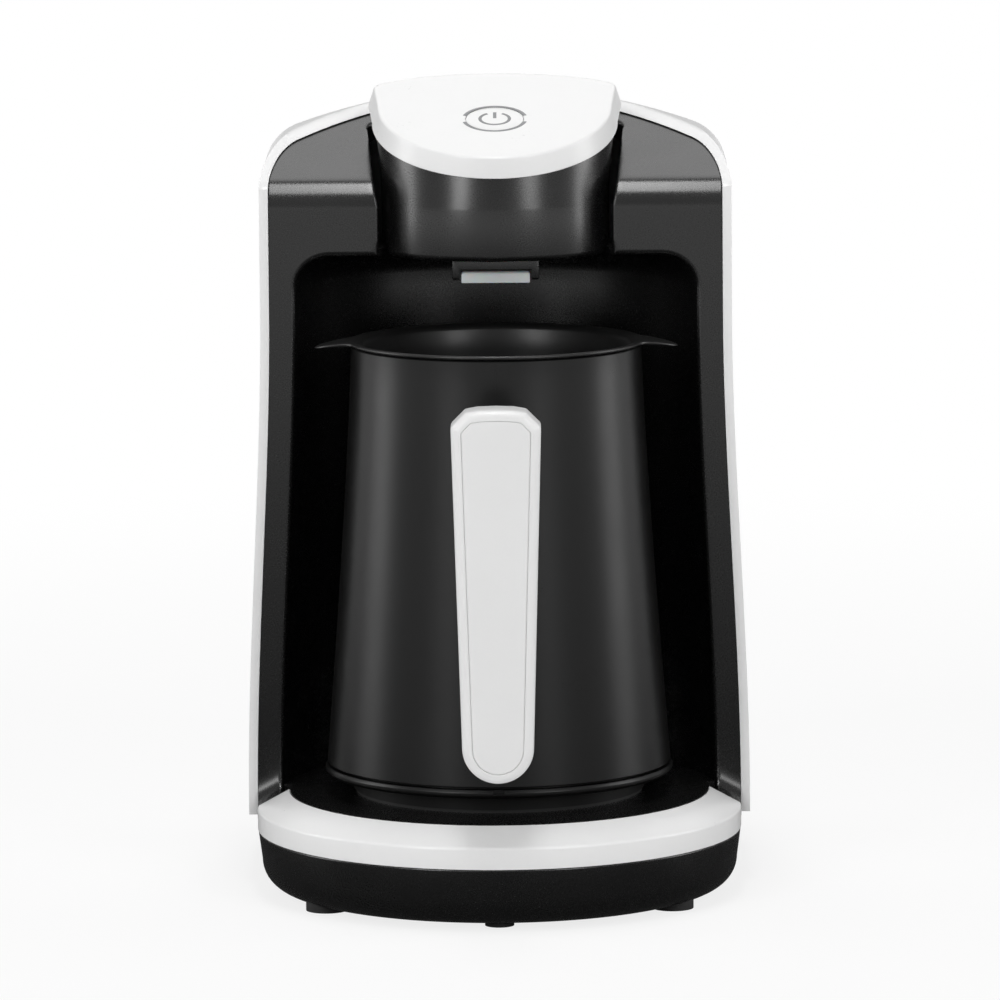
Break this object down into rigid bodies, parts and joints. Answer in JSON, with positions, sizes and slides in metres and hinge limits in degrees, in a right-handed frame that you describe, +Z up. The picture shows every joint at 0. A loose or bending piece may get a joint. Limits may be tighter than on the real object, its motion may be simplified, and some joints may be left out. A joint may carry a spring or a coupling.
{
  "type": "electric turkish coffee maker",
  "caption": "Electric coffee maker: lift-out pot with front handle on a hot plate in an arched bay, under a hanging head with a tilted cap and push button.",
  "frame": {"origin": "centre of the overall box on the surface that the feet stand on", "axes": "+Z up; -Y is the front, where the pot's handle points; +X is to the right of a person facing the front"},
  "size_m": [0.1508, 0.19, 0.2408],
  "materials": {
    "black_plastic": "satin, finely grained",
    "white_plastic": "satin gloss",
    "pot_black": "fine matt grain",
    "handle_white": "satin gloss",
    "steel": "plain",
    "foot_rubber": "matt",
    "plate_aluminium": "dark coated, satin",
    "seal_silicone": "matt",
    "element_steel": "matt",
    "cutout_ceramic": "matt",
    "lead_red": "satin",
    "lead_brown": "satin",
    "window_clear": "frosted",
    "board_green": "satin",
    "icon_grey": "satin",
    "switch_black": "matt",
    "switch_cream": "matt",
    "relay_blue": "satin",
    "transformer_yellow": "taped",
    "capacitor_blue": "gloss",
    "ribbon_grey": "matt",
    "gland_rubber": "matt",
    "vessel_coating": "non-stick, satin",
    "sole_steel": "dark coated, satin",
    "sensor_steel": "plain"
  },
  "bodies": {
    "chassis": {"base_housing": "black_plastic", "bottom_cover": "black_plastic", "rubber_feet": "foot_rubber", "base_screws": "steel", "trim_ring": "white_plastic", "deck": "black_plastic", "hot_plate": "plate_aluminium", "plate_seal": "seal_silicone", "heating_element": "element_steel", "heater_clamp": "steel", "clamp_screws": "steel", "thermal_cutout": "cutout_ceramic", "sensor_spring": "steel", "heater_leads": "lead_red", "front_frame": "black_plastic", "rear_shell": "white_plastic", "shell_screws": "steel", "head_housing": "black_plastic", "sensor_window": "window_clear", "sensor_board": "board_green", "top_cap": "white_plastic", "cap_screws": "steel", "light_guide": "icon_grey", "button_board": "board_green", "tact_switch": "switch_black", "board_screws": "steel", "control_board": "board_green", "relay": "relay_blue", "transformer": "transformer_yellow", "capacitor": "capacitor_blue", "buzzer": "switch_black", "terminal_block": "switch_cream", "mains_leads": "lead_brown", "head_ribbon": "ribbon_grey", "cord_gland": "gland_rubber"},
    "pot": {"pot_vessel": "vessel_coating", "pot_jacket": "pot_black", "pot_skirt": "pot_black", "pot_sole": "sole_steel", "handle_bracket": "pot_black", "handle_grip": "handle_white", "handle_inlay": "handle_white", "handle_screws": "steel"},
    "power_button": {"power_button": "white_plastic", "button_icon": "icon_grey", "switch_plunger": "switch_cream"},
    "heat_sensor": {"heat_sensor": "sensor_steel"}
  },
  "joints": [
    {"name": "pot_draw", "type": "slide", "parent": "chassis", "child": "pot", "axis": [0, -0.9925, 0.1219], "range_m": [0, 0.15]},
    {"name": "button_press", "type": "slide", "parent": "chassis", "child": "power_button", "axis": [0, -0.309, 0.9511], "range_m": [-0.0006, 0], "stiffness_N_per_m": 400, "springref_m": 0.002},
    {"name": "sensor_press", "type": "slide", "parent": "chassis", "child": "heat_sensor", "axis": [0, 0, 1], "range_m": [-0.0025, 0], "stiffness_N_per_m": 300, "springref_m": 0.002, "deforming": ["sensor_spring"]}
  ]
}
